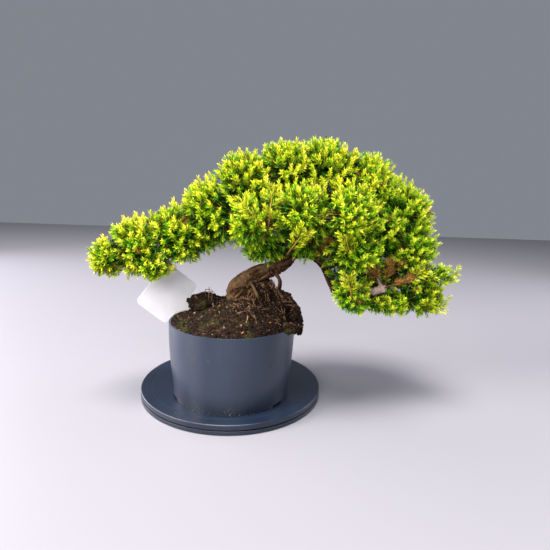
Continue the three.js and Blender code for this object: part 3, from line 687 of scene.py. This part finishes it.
crumbs = new_object("soil_crumbs", soil.data.copy())
grow(crumbs, scatter_tree, Per_square_metre=CRUMBS_PER_SQUARE_METRE, Crumb=crumb, Seed=5,
     Smallest=CRUMB_SIZES[0] * MM, Largest=CRUMB_SIZES[1] * MM, Material=crumb_finish)
put_in_place(crumbs, None, "soil")

# Fine roots: tan, thread-thin roots that watering has washed bare. They hang in a tangle under
# the trunk, and run over the mound towards the rim on the right.

# Dry root skin: matt tan, stained dark in places
root_skin, add, shader = new_finish("dry root skin", Roughness=0.8, IOR=1.4)
place = add("ShaderNodeTexCoord", output="Object")
stains = add("ShaderNodeTexNoise", {"Vector": place, "Scale": every(7)})
colours = add("ShaderNodeValToRGB", {0: stains}, stops=((0.35, "#2b1a10"), (0.7, "#8a6343")))
fill(shader, {"Base Color": colours})


def unit(vector):
    """A vector's direction, one long."""
    return vector / np.linalg.norm(vector)


def surface_height(x, y):
    """The height of the soil and its clods at a place, in mm."""
    top = mound_height(x, y) if math.hypot(x, y) < SOIL_RADIUS else 0
    for at, reach in CLODS:
        inside = 1 - ((x - at[0]) / reach[0]) ** 2 - ((y - at[1]) / reach[1]) ** 2
        if inside > 0:
            top = max(top, at[2] + reach[2] * math.sqrt(inside))
    return top


TANGLED_ROOTS, CREEPING_ROOTS, SHORT_FIBRES, HANGING_ROOTS = 70, 60, 300, 30
# Dead stems stand on the left clod, and each goes from its foot to its head
DEAD_STEMS = (
    ((-36, -9, 138), (-36, -10, 152)), ((-32, -9, 138), (-31, -10, 156)),
    ((-28, -9, 138), (-27, -9, 151)), ((-39, -10, 149), (-24, -10, 150)),
    ((-36, -10, 153), (-27, -10, 152)), ((-45, -12, 140), (-49, -13, 146)),
)
root_chance = random.Random(8)
pick = root_chance.uniform
root_lines = []
for _ in range(TANGLED_ROOTS):
    x, y = pick(22, 52), pick(-14, 10)
    z = np.interp(x, [20, 62], [160, 176]) - 6
    heading, girth, line = pick(0, 6.28), pick(0.35, 0.8) * MM, []
    for k in range(9):
        line.append((x, y, z, girth * (1 - 0.07 * k)))
        heading += pick(-1, 1)
        x, y = x + 2.6 * math.cos(heading), y + 2.6 * math.sin(heading) - 0.4
        z = max(z - pick(1, 5), surface_height(x, y) - 0.5)
    root_lines.append(line)
for _ in range(CREEPING_ROOTS):
    x, y = pick(-10, 74), pick(-46, 2)
    heading, girth, line = pick(-1.6, 0.6), pick(0.3, 0.75) * MM, []
    for k in range(root_chance.randint(5, 11)):
        line.append((x, y, surface_height(x, y) + pick(-0.6, 1.2), girth))
        heading += pick(-0.5, 0.5)
        x, y = x + 3 * math.cos(heading), y + 3 * math.sin(heading)
        if surface_height(x, y) < RIM_TOP - 8:
            break
    if len(line) > 2:
        root_lines.append(line)
for _ in range(SHORT_FIBRES):
    x, y = pick(-76, 84), pick(-72, 30)
    top = surface_height(x, y)
    if top < RIM_TOP - 6:
        continue
    way = np.array((root_chance.gauss(0, 1), root_chance.gauss(0, 1), pick(-0.1, 0.5)))
    reach, girth = unit(way) * pick(1.5, 4.5), pick(0.1, 0.22) * MM
    root_lines.append([(x - reach[0], y - reach[1], top + 0.4, girth), (x, y, top + 1.0, girth),
                       (x + reach[0], y + reach[1], top + 0.6 + max(0, reach[2]), girth)])
for _ in range(HANGING_ROOTS):
    y, z = pick(-34, 10), pick(112, 145)
    x = 67 + (145 - z) * 0.55
    reach, drop = pick(4, 12), pick(-3, 6)
    root_lines.append([(x - 6, y, z, 0.4 * MM), (x + reach / 2, y - 1, z - drop / 3, 0.32 * MM),
                       (x + reach, y - pick(-3, 5), z - drop, 0.22 * MM)])
for foot, head in DEAD_STEMS:
    middle = np.add(foot, head) / 2 + (0.5, 0, 0.4)
    root_lines.append([(*p, 0.45 * MM) for p in (foot, middle, head)])
fine_roots = threads("fine_roots", root_lines, ["girth"])
grow(fine_roots, limb_tree, Step=2 * MM, Sides=5, Material=root_skin)
put_in_place(fine_roots, None, "bark")

# Label: a stiff tag of white polystyrene, cut with a rounded head and a tapered stem that is
# pushed into the soil. Its face is bare, with a soft sheen and light scuffs.
LABEL_AT, LABEL_TILT, LABEL_THICKNESS, LABEL_CORNER = (-90, 25, 139), 52, 1, 6
LABEL_HEAD, LABEL_STEM, STEM_TOP_WIDTH, STEM_FOOT_WIDTH = (70, 51), 55, 21, 12

half_length, half_width = LABEL_HEAD[0] / 2, LABEL_HEAD[1] / 2
outline = [(-STEM_FOOT_WIDTH / 2, -half_width - LABEL_STEM),
           (STEM_FOOT_WIDTH / 2, -half_width - LABEL_STEM), (STEM_TOP_WIDTH / 2, -half_width)]
for cx, cy, first in ((1, -1, -90), (1, 1, 0), (-1, 1, 90), (-1, -1, 180)):
    for step in range(9):
        angle = math.radians(first + step * 90 / 8)
        outline.append((cx * (half_length - LABEL_CORNER) + LABEL_CORNER * math.cos(angle),
                        cy * (half_width - LABEL_CORNER) + LABEL_CORNER * math.sin(angle)))
outline.append((-STEM_TOP_WIDTH / 2, -half_width))
card = bmesh.new()
face = card.faces.new([card.verts.new((x, y, -LABEL_THICKNESS / 2)) for x, y in outline])
raised = bmesh.ops.extrude_face_region(card, geom=[face])["geom"]
bmesh.ops.translate(card, vec=(0, 0, LABEL_THICKNESS),
                    verts=[v for v in raised if isinstance(v, bmesh.types.BMVert)])
bmesh.ops.recalc_face_normals(card, faces=card.faces)
label = made_from(card, "plant_tag")
label.data.transform(
    Matrix.Scale(MM, 4) @ Matrix.Translation(Vector(LABEL_AT) + TREE_PLACE)
    @ Matrix.Rotation(math.pi / 2, 4, "X") @ Matrix.Rotation(math.radians(LABEL_TILT), 4, "Z"))
rounded(label, 0.3)

# Polystyrene tag: bright white with a soft sheen and faint scuffs
tag_plastic, add, shader = new_finish("white polystyrene tag", IOR=1.59)
place = add("ShaderNodeTexCoord", output="Object")
scuffs = add("ShaderNodeTexNoise", {"Vector": place, "Scale": every(18), "Detail": 7.0})
colours = add("ShaderNodeValToRGB", {0: scuffs}, stops=((0.3, "#d3d0d7"), (0.7, "#dddbe1")))
gloss = add("ShaderNodeMapRange", {0: scuffs, "To Min": 0.35, "To Max": 0.6})
fill(shader, {"Base Color": colours, "Roughness": gloss})
put_in_place(label, tag_plastic, "label_plastic", "plant_label")

# Foliage: sharp needles of 6 to 7 mm in whorls of three, on shoots that fork into short plumes.
# New growth at the tips is yellow-green, needles deep inside are painted dark as shade, and the
# stems between them are golden where young and brown where old. Some inner sprays have dried brown.
NEEDLE_LENGTH, NEEDLE_WIDTH, NEEDLE_SPACING = 7.0, 1.25, 0.52
NEEDLE_TURN, LEAN_AT_ROOT, LEAN_AT_TIP = 2.244, 1.0, 0.62
STEM_STEP, STEM_SIDES = 5, 3

needle_mesh = bpy.data.meshes.new("needle")
needle_mesh.from_pydata([(0, 0.1, 0), (0, 0.1, 1), (0.5, -0.1, 0.45), (-0.5, -0.1, 0.45)], [],
                        [(0, 1, 2), (0, 3, 1), (0, 2, 3), (1, 3, 2)])
store(needle_mesh, "reach", [0, 1, 0.45, 0.45])
needle = bpy.data.objects.new("needle", needle_mesh)

# Juniper needles: a thin wax that hardly shines. They go from dark green deep inside, which is
# painted shade, to yellow-green at the tips, each one paler towards its point as a painted
# highlight, and brown where a spray has dried.
needle_finish, add, shader = new_finish(
    "juniper needles", Roughness=0.5, IOR=1.42, Specular_IOR_Level=0.15)
tone, reach_out, fresh = [
    add("ShaderNodeAttribute", output="Fac", attribute_name=title)
    for title in ("tone", "reach", "fresh")]
# Painted highlight: each needle is made paler towards its point
paler = add("ShaderNodeMapRange", {0: reach_out, "To Min": 0.62, "To Max": 1.18})
graded = add("ShaderNodeMath", {0: tone, 1: paler}, operation="MULTIPLY")
greens = add("ShaderNodeValToRGB", {0: graded}, stops=(
    (0.03, "#8a5a2e"), (0.07, "#10300a"), (0.28, "#2f650e"), (0.5, "#84ac13"), (0.75, "#d2da20"),
    (1.0, "#e4df50")))
turned_green = add("ShaderNodeMapRange",
                   {0: fresh, "From Min": -1.0, "To Min": 0.485, "To Max": 0.53})
hue = add("ShaderNodeHueSaturation", {"Hue": turned_green, "Color": greens})
fill(shader, {"Base Color": hue})

# Young stems: soft golden bark at the tips, brown and rougher with age
stem_finish, add, shader = new_finish("young juniper stems", Roughness=0.7, IOR=1.4)
age = add("ShaderNodeAttribute", output="Fac", attribute_name="along")
colours = add("ShaderNodeValToRGB", {0: age},
              stops=((0.1, "#5e3b22"), (0.4, "#bd8433"), (0.85, "#c9bf35")))
fill(shader, {"Base Color": colours})

needle_tree, add, given = new_tree(
    "needles along shoots", Needle="Object", Needle_length="Float", Needle_width="Float",
    Spacing="Float", Lean_at_root="Float", Lean_at_tip="Float", Seed="Int",
    Needle_material="Material", Stem_material="Material")
course = smooth_course(add, given["Geometry"])
stems = tubes_along(add, course, STEM_STEP * MM, STEM_SIDES)
course = add("GeometryNodeResampleCurve", {
    "Curve": course, "Length": given["Spacing"]}, mode="LENGTH")
spots = add("GeometryNodeCurveToPoints", {"Curve": course}, mode="EVALUATED")
along, leafy, tone = [
    add("GeometryNodeInputNamedAttribute", {"Name": title}, data_type="FLOAT")
    for title in ("along", "leafy", "tone")]
order = add("GeometryNodeInputIndex")
spin = add("ShaderNodeMath", {0: order, 1: NEEDLE_TURN}, operation="MULTIPLY")
spinning = add("FunctionNodeAxisAngleToRotation", {"Axis": (0, 0, 1), "Angle": spin})
sway = add("FunctionNodeRandomValue", {"Min": -0.16, "Max": 0.16, "Seed": given["Seed"]})
lean = add("ShaderNodeMapRange", {
    0: along, "To Min": given["Lean at root"], "To Max": given["Lean at tip"]})
lean = add("ShaderNodeMath", {0: lean, 1: sway})
leaning = add("FunctionNodeAxisAngleToRotation", {"Axis": (1, 0, 0), "Angle": lean})
facing = spots.node.outputs["Rotation"]
for turn in (spinning, leaning):
    facing = add("FunctionNodeRotateRotation", {0: facing, 1: turn}, rotation_space="LOCAL")
short = add("ShaderNodeMapRange", {0: along, "From Min": 0.5, "To Min": 1.0, "To Max": 0.6})
vary = add("FunctionNodeRandomValue", {"Min": 0.82, "Max": 1.12, "Seed": 21})
length = add("ShaderNodeMath", {0: short, 1: vary}, operation="MULTIPLY")
length = add("ShaderNodeMath", {0: length, 1: given["Needle length"]}, operation="MULTIPLY")
size = add("ShaderNodeCombineXYZ", {0: given["Needle width"], 1: given["Needle width"], 2: length})
grown = add("FunctionNodeCompare", {0: leafy, 1: 0.5}, data_type="FLOAT", operation="GREATER_THAN")
blade = add("GeometryNodeObjectInfo", {"Object": given["Needle"]}, output="Geometry")
needles = add("GeometryNodeInstanceOnPoints", {
    "Points": spots, "Selection": grown, "Instance": blade, "Rotation": facing, "Scale": size})
mottle = add("FunctionNodeRandomValue", {"Min": 0.84, "Max": 1.16, "Seed": 31})
shade = add("ShaderNodeMath", {0: tone, 1: mottle}, operation="MULTIPLY")
for title, value, kind in (("tone", shade, "FLOAT"), ("is_needle", True, "BOOLEAN")):
    needles = add("GeometryNodeStoreNamedAttribute", {
        "Geometry": needles, "Name": title, "Value": value}, data_type=kind, domain="INSTANCE")
both = add("GeometryNodeJoinGeometry", {0: needles})
needle_tree.links.new(stems, both.node.inputs[0])
whole = dressed(add, both, given["Stem material"])
chosen = add("GeometryNodeInputNamedAttribute", {"Name": "is_needle"}, data_type="BOOLEAN")
whole = add("GeometryNodeSetMaterial", {
    "Geometry": whole, "Selection": chosen, "Material": given["Needle material"]})
add("NodeGroupOutput", {0: whole})

# Looser growth that has no pad of its own fills the crown between the pads
LOOSE_GROWTH = {
    "behind_stub": ((214, -8, 182), (34, 24, 26)),
    "over_trunk": ((92, -18, 223), (48, 30, 27)),
    "under_stub": ((198, -6, 166), (36, 20, 18)),
    "over_drop": ((170, -24, 186), (30, 20, 24)),
    "inside_crown": ((146, -20, 228), (44, 30, 26)),
    "front_seam": ((52, -34, 252), (26, 26, 26)),
    "right_seam": ((190, -22, 240), (34, 30, 30)),
    "over_shoulder": ((-4, -4, 252), (30, 30, 26)),
    "drop_top": ((140, -34, 192), (24, 18, 20)),
    "low_link": ((172, -33, 144), (22, 18, 13)),
    "low_end_link": ((228, -24, 147), (22, 20, 17)),
    "left_link": ((-66, -8, 208), (32, 26, 22)),
    "crown_core": ((100, 2, 236), (60, 34, 26)),
    "top_seam": ((142, 2, 305), (27, 38, 27)),
    "spur_root": ((226, -32, 171), (25, 14, 16)),
    "arch_top": ((124, -16, 206), (20, 18, 16)),
    "armpit": ((2, -10, 231), (25, 24, 15)),
    "drop_inner": ((134, -25, 177), (14, 14, 14)),
    "trunk_top": ((60, -12, 217), (20, 20, 14)),
}
# These tufts are new growth, more golden, and also painted lighter as if better lit
YOUNG_AND_LIT_TUFTS = ("right_spur", "spur_root", "left_tip", "left_end", "left_under", "right_bottom",
               "right_low")
TUFTS = {**PADS, **LOOSE_GROWTH}
TUFT_CENTRES = np.array([at for at, _ in TUFTS.values()], float)
TUFT_REACHES = np.array([reach for _, reach in TUFTS.values()], float)
TUFT_BLEND, TUFT_SIZE, PLUME_SPACING, FURTHEST, WAYS_TRIED = 3, 36, 14.5, 1.9, 340
CROWN_SURFACE, SHADE_DEPTH, UP = 0.94, 15, np.array((0, 0, 1.0))
PLUME_LENGTHS, DRY_SHARE, DRY_LIT = (27, 38), 0.08, 0.05
# Where on a plume's main shoot each side shoot starts, and its share of the length left there
SIDE_SHOOTS = ((0.17, 0.9), (0.33, 0.85), (0.5, 0.85))
# No plume ends in the air round the dead stub, so that the stub shows
STUB_AIR, STUB_CLEAR = np.array((187, -54, 169.0)), 16


def crown_share(place):
    """How far out a place lies in the crown, 1 at its surface, and its nearest tuft."""
    shares = np.linalg.norm((place - TUFT_CENTRES) / TUFT_REACHES, axis=1)
    return -math.log(np.exp(-TUFT_BLEND * shares).sum()) / TUFT_BLEND, int(np.argmin(shares))


def spread(count):
    """Directions spread evenly over a sphere."""
    k = np.arange(count)
    z = 1 - (2 * k + 1) / count
    flat, angle = np.sqrt(1 - z * z), k * math.pi * (3 - math.sqrt(5))
    return np.stack([flat * np.cos(angle), flat * np.sin(angle), z], axis=1)


def crown_edge(at, way, reach):
    """Where a line from a tuft's middle leaves the crown, in shares of the tuft's reach."""
    low, high = 0.2, FURTHEST
    if crown_share(at + way * reach * high)[0] < CROWN_SURFACE:
        return None
    for _ in range(9):
        middle = (low + high) / 2
        if crown_share(at + way * reach * middle)[0] < CROWN_SURFACE:
            low = middle
        else:
            high = middle
    return low


def crown_normal(place):
    """The direction straight out of the blended crown at a place."""
    off = (place - TUFT_CENTRES) / TUFT_REACHES
    shares = np.linalg.norm(off, axis=1)
    weights = np.exp(-TUFT_BLEND * shares) / shares
    return unit((weights[:, None] * off / TUFT_REACHES).sum(axis=0))


def shoot(start, way, end_way, length, lit, girth, fresh, bare=0.0, points=5):
    """A bent shoot as rows of (x, y, z, girth, along, tone, fresh, leafy), with painted shade
    inside.
    """
    line, place = [], np.array(start, float)
    for k in range(points):
        t = k / (points - 1)
        depth = max(0, CROWN_SURFACE - crown_share(place)[0]) * TUFT_SIZE
        # Painted shade: the tone darkens with depth inside the crown and towards the shoot's root
        tone = lit * (0.16 + 0.84 * math.exp(-((depth / SHADE_DEPTH) ** 1.5))) * (0.6 + 0.46 * t)
        line.append((*place, girth * (1 - 0.6 * t) * MM, t, tone, fresh, float(t >= bare)))
        place = place + unit((1 - t) * way + t * end_way) * length / (points - 1)
    return line


def plume(tip, out, rise, length, lit, fresh, chance):
    """A forked plume that ends at a tip: a main shoot, side shoots and their short spurs."""
    first, last = unit(out - UP * 0.3 * rise), unit(out + UP * rise)
    root = tip - unit(first + last) * length
    bare = 0.5 if chance.random() < 0.2 else 0.15
    lines = [shoot(root, first, last, length, lit, girth=0.85, fresh=fresh, bare=bare, points=7)]
    a = unit(np.cross(out, UP + 0.013))
    b = np.cross(out, a)
    turn = chance.uniform(0, 6.28)
    for t, share in SIDE_SHOOTS:
        spot = np.array(lines[0][round(t * 6)][:3])
        turn += 2.4 + chance.uniform(-0.35, 0.35)
        aside = a * math.cos(turn) + b * math.sin(turn)
        side_length = max(7, (1 - t) * length * share * chance.uniform(0.85, 1.1))
        side = shoot(spot, unit(out + aside * 1.2), unit(out * 1.2 + aside * 0.4 + UP * rise),
                     side_length, lit * chance.uniform(0.88, 1.06), girth=0.6, fresh=fresh)
        lines.append(side)
        if chance.random() < 0.3:
            spur = unit(out + chance.choice((-0.8, 0.8)) * np.cross(out, aside))
            lines.append(shoot(side[2][:3], spur, unit(spur + UP * rise), chance.uniform(6, 8),
                               lit, girth=0.4, fresh=fresh, points=3))
    return root, lines


def tuft_shoots(number, name, at, reach, tips):
    """The shoots of a tuft: plumes where it meets the air, and older sprays inside."""
    chance = random.Random(number)
    lines = []
    size = float(np.mean(reach))
    for way in spread(WAYS_TRIED):
        way = unit(way + [chance.uniform(-0.05, 0.05) for _ in range(3)])
        edge = crown_edge(at, way, reach)
        if edge is None:
            continue
        tip = at + way * reach * edge
        if crown_share(tip)[1] != number or np.linalg.norm(tip - STUB_AIR) < STUB_CLEAR:
            continue
        if len(tips) and np.min(np.linalg.norm(tips - tip, axis=1)) < PLUME_SPACING:
            continue
        tips = np.vstack([tips, tip])
        out = unit(crown_normal(tip) + 0.5 * unit(tip - at))
        rise = 1.0 - 0.4 * abs(out[2]) if out[2] > -0.35 else 0.2
        length = min(chance.uniform(*PLUME_LENGTHS), 0.85 * np.linalg.norm(tip - at))
        # Painted light and shade: plumes facing up are lighter, and those facing down are painted
        # darker
        lit = 1.0 + 0.1 * out[2] + chance.uniform(-0.2, 0.14)
        fresh = (225 - tip[2]) / 130 + (tip[0] - 60) / 700 + chance.uniform(-0.5, 0.4)
        if out[2] < -0.45:
            lit -= 0.2
        # New growth: more golden, and painted lighter as extra light
        if name in YOUNG_AND_LIT_TUFTS:
            lit, fresh = lit + 0.16, fresh - 0.6
        tip = tip - out * chance.uniform(0, 5)
        root, forked = plume(tip, out, rise, length, lit, fresh, chance)
        lines += forked
        stem = [at + (root - at) * t for t in (0.1, 0.5, 1)]
        lines.append([(*place, 0.8 * MM, 0.12, 0, 0, 0) for place in stem])
    for way in spread(round(5.5 * math.pi * (size / PLUME_SPACING) ** 2)):
        way = unit(way + [chance.uniform(-0.3, 0.3) for _ in range(3)])
        # Painted shade: sprays deep inside get less light than the plumes at the surface
        lit = DRY_LIT if chance.random() < DRY_SHARE else chance.uniform(0.5, 0.85)
        start = at + way * reach * chance.uniform(0.1, 0.35)
        lines.append(shoot(start, way, unit(way + UP * 0.2), size * 0.62, lit, girth=0.9,
                           fresh=1, bare=0.2))
    return lines, tips


# Dead twigs fork from the cut stub and under the arch, and still hold dry brown needles
DRY_TWIGS = [
    [(184, -38, 164), (177, -38, 182), (171, -35, 199)],
    [(181, -37, 174), (170, -40, 182), (160, -40, 188)],
    [(188, -40, 168), (194, -42, 182), (204, -42, 192)],
    [(189, -42, 166), (201, -46, 172), (214, -46, 178)],
    [(188, -46, 170), (185, -56, 183), (185, -60, 195)],
    [(185, -46, 170), (173, -56, 182), (161, -60, 187)],
    [(193, -46, 168), (198, -58, 174), (207, -62, 178)],
    [(83, -20, 206), (95, -30, 212), (107, -38, 219)],
    [(107, -18, 193), (109, -32, 208), (116, -42, 216)],
]
# Long golden stems stand in front of the crown, with short plumes down both their sides
FRONT_SPRAYS = [
    ((37, -72, 231), (3, -81, 269)),
    ((37, -72, 234), (40, -82, 284)),
    ((60, -66, 207), (77, -84, 236)),
    ((139, -62, 200), (124, -78, 231)),
    ((227, -42, 173), (289, -36, 183)),
    ((209, -48, 170), (236, -46, 191)),
    ((240, -34, 137), (280, -30, 140)),
    ((141, -66, 155), (132, -68, 184)),
]
loose_shoots = []
spray_chance = random.Random(4)
for foot, end in FRONT_SPRAYS:
    length = np.linalg.norm(np.subtract(end, foot))
    way = unit(np.subtract(end, foot))
    stem = shoot(foot, way, way, length, lit=0.98, girth=1.15, fresh=-0.4, bare=0.7, points=9)
    loose_shoots.append(stem)
    for k in range(2, 8):
        aside = unit(np.cross(way, (0, -1, 0))) * (-1) ** k
        spur = unit(way * 0.9 + aside + (0, -0.3, 0.2))
        loose_shoots.append(shoot(
            stem[k][:3], spur, unit(spur + UP * 0.5), length=spray_chance.uniform(11, 17),
            lit=spray_chance.uniform(0.85, 1.05), girth=0.6, fresh=-0.3, bare=0.15))
for line in DRY_TWIGS:
    loose_shoots.append([
        (*p, (1.3 - 0.3 * k) * MM, 0.1, DRY_LIT, 0, 0) for k, p in enumerate(line)])
    for before, place in zip(line, line[1:]):
        for aside in ((0, 0, 4), (9, -4, 6), (-9, -4, 4)):
            way = unit(np.subtract(place, before) + aside)
            loose_shoots.append(shoot(place, way, way, length=11, lit=DRY_LIT, girth=0.5,
                                      fresh=0, points=3))
tips = np.empty((0, 3))
for number, (name, (at, reach)) in enumerate(TUFTS.items()):
    shoots, tips = tuft_shoots(number, name, np.array(at, float), np.array(reach, float), tips)
    if name in LOOSE_GROWTH:
        loose_shoots += shoots
        if name != list(LOOSE_GROWTH)[-1]:
            continue
        name, shoots = "between_pads", loose_shoots
    bush = threads(f"foliage_plumes_{name}", shoots, ["girth", "along", "tone", "fresh", "leafy"])
    grow(bush, needle_tree, Needle=needle, Needle_length=NEEDLE_LENGTH * MM,
         Needle_width=NEEDLE_WIDTH * MM, Spacing=NEEDLE_SPACING * MM, Lean_at_root=LEAN_AT_ROOT,
         Lean_at_tip=LEAN_AT_TIP, Seed=number, Needle_material=needle_finish,
         Stem_material=stem_finish)
    put_in_place(bush, None, "needles", *([f"foliage_{name}"] if name in PADS else []))

for spare in (needle, crumb):
    bpy.data.objects.remove(spare)
